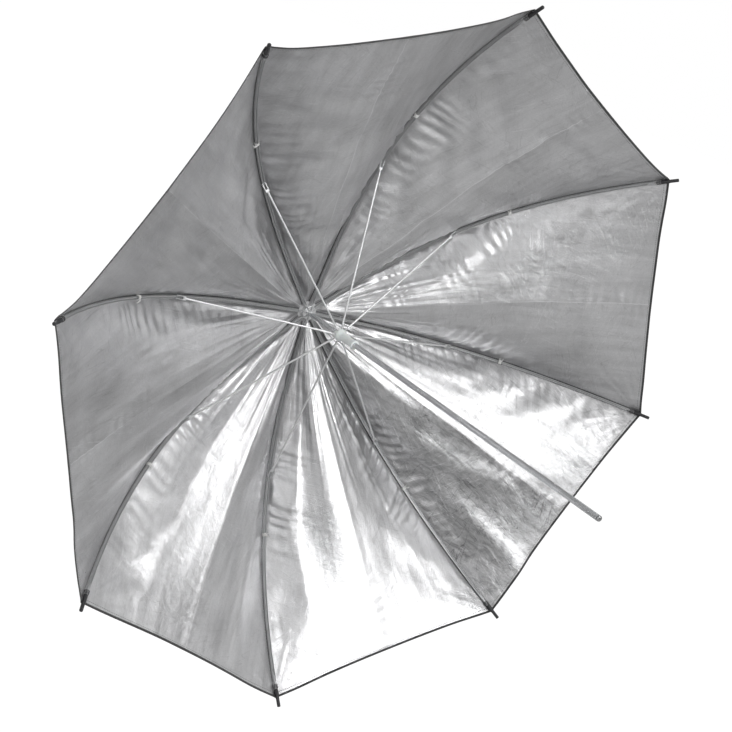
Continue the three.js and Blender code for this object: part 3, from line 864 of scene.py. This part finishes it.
SPRUNG = worn_metal("catch_steel", base=(0.55, 0.56, 0.58), worn=(0.75, 0.75, 0.76), rough=0.3)
WHITE_PLASTIC = plastic("runner_plastic", base=(0.90, 0.90, 0.885), rough=0.36,
                        edge_tone=(0.95, 0.95, 0.94), subsurface=0.10, dust=0.06)
BLACK_PLASTIC = plastic("black_plastic", base=(0.022, 0.022, 0.024), rough=0.42,
                        edge_tone=(0.11, 0.11, 0.115), grain=0.00008)
ROSETTE = plastic("rosette_plastic", base=(0.03, 0.03, 0.032), rough=0.55,
                  edge_tone=(0.1, 0.1, 0.1), grain=0.0001)
THREAD = twisted_thread("tie_thread", base=(0.86, 0.86, 0.84))
THREAD_BLACK = twisted_thread("tip_thread", base=(0.03, 0.03, 0.032))

# ------------------------------------------------------------------ canopy pieces


def shell_faces(side):
    """Inside, outside and rim faces of half a gore. The outside's points follow the inside's."""
    count = ROWS * (COLS + 1)
    index = np.arange(count).reshape(ROWS, COLS + 1)
    quads = np.stack([index[:-1, :-1], index[:-1, 1:], index[1:, 1:], index[1:, :-1]], -1)
    rim = np.concatenate([index[0, :], index[1:, -1], index[-1, -2::-1], index[-2:0:-1, 0]])
    after = np.roll(rim, -1)
    wall = np.stack([after, rim, rim + count, after + count], -1)
    inner = quads.reshape(-1, 4)
    if side == "a":     # the two sides are mirror images
        inner, wall = inner[:, ::-1], wall[:, ::-1]
    return inner, inner[:, ::-1] + count, wall


# Cross-section of the hem tape: an outward place and a thickness for each of its sides
TAPE_ANGLES = np.arange(TAPE_SIDES) / TAPE_SIDES * 2 * math.pi
TAPE_COS, TAPE_SIN = np.cos(TAPE_ANGLES), np.sin(TAPE_ANGLES)
TAPE_OUT = signed_power(TAPE_COS, 0.75) * 1.9 - 1.15
TAPE_THICK = signed_power(TAPE_SIN, 0.55) * 0.62


def hem_tape(columns):
    """Points, normals, quads and end caps of the flat tape folded over the hem."""
    end = MIDDLE[-1, columns][:, None]
    outward = MIDDLE[-1, columns] - MIDDLE[-3, columns]
    outward /= np.linalg.norm(outward, axis=-1, keepdims=True)
    outward = outward[:, None]
    inward = NORMALS[-1, columns][:, None]
    points = end + outward * TAPE_OUT[None, :, None] + inward * TAPE_THICK[None, :, None]
    normals = outward * (TAPE_COS * 0.5)[None, :, None] + inward * TAPE_SIN[None, :, None]
    normals /= np.linalg.norm(normals, axis=-1, keepdims=True)
    points, normals = points.reshape(-1, 3), normals.reshape(-1, 3)

    index = np.arange(len(points)).reshape(-1, TAPE_SIDES)
    quads = ring_quads(index)
    caps = np.stack([index[0][::-1], index[-1]])
    corners = points[quads[0]]
    facing = np.cross(corners[1] - corners[0], corners[2] - corners[0])
    if facing @ normals[quads[0]].mean(0) < 0:
        quads, caps = quads[:, ::-1], caps[:, ::-1]
    return points, normals, quads, caps


def cloth_attributes(rib, side, columns):
    """Values of "cl" and "ct" for the inside, the outside and the tape."""
    station = STATION[:, columns]
    half = half_width(station)
    across = half * SHARES
    lateral = (1.0 if side == "a" else -1.0) * (half - across)
    tag = np.full(station.size, half_tag(rib, side))
    shift = rib * ATTRIBUTE_SHIFT
    sheet_cl = np.stack([lateral.ravel() / 1000 + shift, station.ravel() / 1000, tag], -1)
    sheet_ct = np.stack([values.ravel() / 1000 for values in (across, station, half - across)], -1)

    tape_lateral = np.repeat(lateral[-1], TAPE_SIDES)
    tape_across = np.repeat(across[-1], TAPE_SIDES)
    tape_out = np.tile(TAPE_OUT, COLS + 1)
    size = tape_out.size
    tape_cl = np.stack(
        [tape_lateral / 1000 + shift, (HEM_R + tape_out) / 1000, np.full(size, float(rib))], -1)
    tape_ct = np.stack(
        [tape_across / 1000, np.full(size, HEM_R / 1000), np.zeros(size)], -1)
    return {"cl": np.concatenate([sheet_cl, sheet_cl, tape_cl]),
            "ct": np.concatenate([sheet_ct, sheet_ct, tape_ct])}


def half_gore(rib, side):
    """Half a gore, sewn to its rib."""
    step = 1 if side == "a" else -1
    columns = (rib * 2 * COLS + step * np.arange(COLS + 1)) % MIDDLE.shape[1]
    inner, outer, wall = shell_faces(side)
    tape_points, tape_normals, tape_quads, caps = hem_tape(columns)
    normals = NORMALS[:, columns].reshape(-1, 3)
    points = np.concatenate([INSIDE[:, columns].reshape(-1, 3),
                             OUTSIDE[:, columns].reshape(-1, 3), tape_points])
    shell_count = 2 * len(normals)
    parts = [inner, outer, wall, tape_quads + shell_count, caps + shell_count]
    lengths = [len(part) for part in parts]

    name = f"cloth_{rib + 1}{side}"
    mesh = bpy.data.meshes.new(name)
    faces = [face for part in parts for face in part.tolist()]
    mesh.from_pydata((points / 1000).tolist(), [], faces)
    for material in (SILVER, BLACK, BINDING):
        mesh.materials.append(material)
    slots = np.repeat([0, 1, 2, 2, 2], lengths).astype(np.int32)
    mesh.polygons.foreach_set("material_index", slots)
    rounded = np.repeat([True, True, False, True, False], lengths)
    mesh.polygons.foreach_set("use_smooth", rounded)
    for label, values in cloth_attributes(rib, side, columns).items():
        attribute = mesh.attributes.new(label, "FLOAT_VECTOR", "POINT")
        attribute.data.foreach_set("vector", values.astype(np.float32).ravel())
    mesh.update()
    mesh.normals_split_custom_set_from_vertices(
        np.concatenate([normals, -normals, tape_normals]).tolist())
    piece = bpy.data.objects.new(name, mesh)
    scene.collection.objects.link(piece)

    body = f"canopy_{rib + 1}{side}"
    rib_point(rib, 0, 0, 0)
    rib_point(rib, 300, 0, 0)
    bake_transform(piece)
    shares = wrap_shares(rib, side, columns)
    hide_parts(body)


for rib in range(RIBS):
    for side in "ab":
        half_gore(rib, side)

# ------------------------------------------------------------------ thread

TIE_THREAD_R, TIP_THREAD_R = 0.00058, 0.00038      # metres


def strand(path, radius):
    """Points and faces of a round strand along a path, in metres."""
    centres = np.array([list(point) for point in path], float)
    last = len(centres) - 1
    tangent = np.gradient(centres, axis=0)
    tangent /= np.linalg.norm(tangent, axis=1, keepdims=True)
    across = np.cross(tangent, np.array([0.31, 0.86, 0.4]))
    for i in range(1, last + 1):       # carry the direction along, so the strand doesn't twist
        across[i] = across[i - 1] - tangent[i] * (across[i - 1] @ tangent[i])
    across /= np.linalg.norm(across, axis=1, keepdims=True)
    upward = np.cross(tangent, across)
    points, faces = [], []
    for i in range(last + 1):
        size = radius * (0.55 if i in (0, last) else 1.0)
        for j in range(THREAD_SIDES):
            angle = 2 * math.pi * j / THREAD_SIDES
            around = across[i] * math.cos(angle) + upward[i] * math.sin(angle)
            points.append(centres[i] + size * around)
    for i in range(last):
        here, there = i * THREAD_SIDES, (i + 1) * THREAD_SIDES
        for j in range(THREAD_SIDES):
            k = (j + 1) % THREAD_SIDES
            faces.append((here + j, here + k, there + k, there + j))
    faces.append(tuple(range(THREAD_SIDES))[::-1])
    faces.append(tuple(last * THREAD_SIDES + j for j in range(THREAD_SIDES)))
    return points, faces


def thread_object(name, paths, radius, material, body):
    points, faces = [], []
    for path in paths:
        strand_points, strand_faces = strand(path, radius)
        base = len(points)
        points += [tuple(point) for point in strand_points]
        faces += [tuple(base + corner for corner in face) for face in strand_faces]
    mesh = bpy.data.meshes.new(name)
    mesh.from_pydata(points, [], faces)
    mesh.materials.append(material)
    mesh.polygons.foreach_set("use_smooth", [True] * len(mesh.polygons))
    mesh.update()
    thread = bpy.data.objects.new(name, mesh)
    scene.collection.objects.link(thread)
    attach(thread, body)


def on_rib(rib, station, across, inward):
    """A point beside a rib; inward is measured square to its centre line."""
    tilt = math.atan(rib_slope(station))
    return rib_point(rib, station - inward * math.sin(tilt), across,
                     rib_drop(station) + inward * math.cos(tilt))


def tie_winding(rib, rng, turns=4, steps=20):
    """Turns over the rib and through the cloth."""
    path = []
    for i in range(turns * steps + 1):
        angle = 2 * math.pi * i / steps
        across = signed_power(math.cos(angle), 0.55) * (2.65 + 0.1 * rng.uniform(-1, 1))
        inward = -1.15 + signed_power(math.sin(angle), 0.55) * 3.3
        station = TIE_R - 2.2 + 4.4 * i / (turns * steps) + 0.2 * math.sin(angle * 3)
        path.append(on_rib(rib, station, across, inward))
    return path


def tie_knot(rib):
    return [on_rib(rib, TIE_R + 1.1 * math.cos(angle) * math.cos(2 * angle),
                   1.0 + 0.9 * math.sin(angle), 2.5 + 0.5 * math.sin(2.5 * angle))
            for angle in np.linspace(0, 4 * math.pi, 30)]


def tie_tail(rib, start, run, bow):
    """A loose end. Start and run are (station from the tie, across, inward)."""
    return [on_rib(rib, TIE_R + start[0] + run[0] * part, start[1] + run[1] * part,
                   start[2] + bow * math.sin(math.pi * part) + run[2] * part)
            for part in np.linspace(0, 1, 8)]


def tip_winding(rib, turns=5, steps=16):
    """Turns that hold the corner of the cloth to the tip."""
    path = []
    for i in range(turns * steps + 1):
        angle = 2 * math.pi * i / steps
        station = 522.5 + 4.5 * i / (turns * steps)
        path.append(on_rib(rib, station, 3.6 * math.cos(angle), -0.9 + 4.4 * math.sin(angle)))
    return path


rng = np.random.default_rng(4)
for rib in range(RIBS):
    body = f"rib_{rib + 1}"
    lean = 1 if rib % 2 else -1
    paths = [
        tie_winding(rib, rng),
        tie_knot(rib),
        tie_tail(rib, start=(0.4, 1.3 + lean * 0.4, 2.9), run=(2.6, 6.5, -1.2), bow=1.6),
        tie_tail(rib, start=(-0.4, 1.1, 2.8), run=(-2.0, 5.6, -2.0), bow=1.2)]
    thread_object(f"tie_{rib + 1}", paths, TIE_THREAD_R, THREAD, body)
    thread_object(f"tip_thread_{rib + 1}", [tip_winding(rib)], TIP_THREAD_R, THREAD_BLACK, body)

# ------------------------------------------------------------------ hard parts

# piece: material, width of its bevelled edges in metres
FINISH = {
    "shaft": (CHROME, 0.0), "shaft_end_plug": (PLUG, 0.00035),
    "crown_notch": (NOTCH, 0.0003), "crown_wire": (WIRE, 0.0),
    "inner_rosette": (ROSETTE_IN, 0.00012), "outer_rosette": (ROSETTE, 0.0002),
    "ferrule_cap": (BLACK_PLASTIC, 0.0004), "stop_pin": (RIVET, 0.00015),
    "open_catch": (SPRUNG, 0.00015), "closed_catch": (SPRUNG, 0.00015),
    "runner": (WHITE_PLASTIC, 0.0003), "runner_wire": (WIRE, 0.0),
}
for number in range(1, RIBS + 1):
    FINISH[f"rib_{number}"] = (RIB_STEEL, 0.0001)
    FINISH[f"rib_tip_{number}"] = (BLACK_PLASTIC, 0.0003)
    FINISH[f"rivet_{number}"] = (RIVET, 0.0002)
    FINISH[f"stretcher_{number}"] = (ROD, 0.0001)


def finish_part(part, material, bevel_width):
    if not part.material_slots:     # a loaded piece may come without a slot
        part.data.materials.append(material)
    for slot in part.material_slots:
        slot.material = material
    part.data.polygons.foreach_set("use_smooth", [True] * len(part.data.polygons))
    weld = part.modifiers.new("weld", "WELD")
    weld.merge_threshold = 1e-6
    if bevel_width:
        bevel = part.modifiers.new("edges", "BEVEL")
        bevel.width = bevel_width
        bevel.segments = 2
        bevel.limit_method = "ANGLE"
        bevel.angle_limit = math.radians(34)
        bevel.harden_normals = True
        bevel.use_clamp_overlap = True
    even = part.modifiers.new("normals", "WEIGHTED_NORMAL")
    even.keep_sharp = True
    even.weight = 60


for name, (material, bevel_width) in FINISH.items():
    finish_part(nodes[name], material, bevel_width)

# ------------------------------------------------------------------ floor, world, light, camera
# all in metres

FLOOR_Z = -0.64
FLOOR_HALF = 60


def floor_material():
    """Grey to the light, and almost wholly a white glow to the camera."""
    graph = Material("studio_floor")
    camera_ray = graph.add("LightPath", out="Is Camera Ray")
    speck = graph.noise(graph.position(), scale=3.0, detail=3, rough=0.5).remap(to=(0.995, 1.0))
    material = graph.finish({"Base Color": graph.tinted(speck, (0.5, 0.5, 0.5)),
                             "Roughness": 0.9, "Specular IOR Level": 0.1})
    glow = graph.add("Emission", {"Color": graph.color(speck, speck, speck), "Strength": 1.07})
    lit = Value(graph, graph.bsdf.outputs[0])
    mixed = graph.add("MixShader", {0: camera_ray * 0.97, 1: lit, 2: glow})
    graph.put(graph.output.inputs[0], mixed)
    return material


def build_floor():
    mesh = bpy.data.meshes.new("floor")
    signs = ((-1, -1), (1, -1), (1, 1), (-1, 1))
    corners = [(x * FLOOR_HALF, y * FLOOR_HALF, FLOOR_Z) for x, y in signs]
    mesh.from_pydata(corners, [], [(0, 1, 2, 3)])
    mesh.materials.append(floor_material())
    floor = bpy.data.objects.new("floor", mesh)
    scene.collection.objects.link(floor)


def build_world():
    """White to the camera. It lights with a grey that rises toward the top."""
    world = bpy.data.worlds.new("studio")
    scene.world = world
    world.use_nodes = True
    graph = Graph(world.node_tree)
    output = graph.tree.nodes.new("ShaderNodeOutputWorld")
    direction = graph.add("TexCoord", out="Generated")
    height = graph.xyz(direction)[2].remap(span=(-1.0, 1.0))
    grey = graph.add("ValToRGB", {0: height})
    low, high = grey.socket.node.color_ramp.elements
    low.position, low.color = 0.30, (0.30, 0.30, 0.30, 1)
    high.position, high.color = 0.95, (0.55, 0.55, 0.55, 1)

    # the side of the room the camera stands on is darker
    azimuth = math.radians(-165)
    dark_side = (math.sin(azimuth), math.cos(azimuth), 0.03)
    toward = graph.add(
        "VectorMath", {0: direction, 1: dark_side}, out="Value", operation="DOT_PRODUCT")
    dim = graph.add("MapRange", {0: toward, 1: 0.55, 2: 0.92, 3: 1.0, 4: 0.35},
                    interpolation_type="SMOOTHSTEP")
    shade = graph.add("VectorMath", {0: grey, "Scale": dim}, operation="SCALE")

    lit = graph.add("Background", {"Color": shade, "Strength": 1.08})
    seen = graph.add("Background", {"Color": (1, 1, 1), "Strength": 1.0})
    camera_ray = graph.add("LightPath", out="Is Camera Ray")
    graph.put(output.inputs[0], graph.add("MixShader", {0: camera_ray, 1: lit, 2: seen}))


LIGHT_TARGET = Vector((0, 0.5, 0))


def softbox(name, azimuth, elevation, distance, size, power):
    """A rectangular soft light. Azimuth 0 is toward +Y and 90 toward +X, in degrees."""
    turn, rise = math.radians(azimuth), math.radians(elevation)
    direction = Vector(
        (math.sin(turn) * math.cos(rise), math.cos(turn) * math.cos(rise), math.sin(rise)))
    light = bpy.data.lights.new(name, "AREA")
    light.shape = "RECTANGLE"
    light.size, light.size_y = size
    light.energy = power
    box = bpy.data.objects.new(name, light)
    scene.collection.objects.link(box)
    box.location = LIGHT_TARGET + direction * distance
    box.rotation_mode = "QUATERNION"
    box.rotation_quaternion = direction.to_track_quat("Z", "Y")
    box.visible_camera = False


def build_camera():
    camera = bpy.data.objects.new("camera", bpy.data.cameras.new("camera"))
    scene.collection.objects.link(camera)
    camera.data.lens = 68.52
    camera.data.sensor_width = 36
    camera.data.clip_start = 0.05
    camera.data.clip_end = 200
    right = Vector((0.7702, -0.5411, 0.3376))
    up = Vector((-0.1252, 0.3908, 0.9119))
    back = Vector((-0.6254, -0.7446, 0.2333))
    place = Matrix.Translation((-1.2811, -1.0180, 0.4616))
    camera.matrix_world = place @ Matrix((right, up, back)).transposed().to_4x4()
    scene.camera = camera


build_floor()
build_world()
softbox("key", azimuth=170, elevation=27, distance=2.4, size=(1.0, 0.7), power=36)
softbox("side", azimuth=-121, elevation=10, distance=2.6, size=(0.7, 0.7), power=9)
softbox("back_fill", azimuth=20, elevation=35, distance=3.0, size=(1.6, 1.6), power=22)
build_camera()
scene.view_settings.view_transform = "Standard"
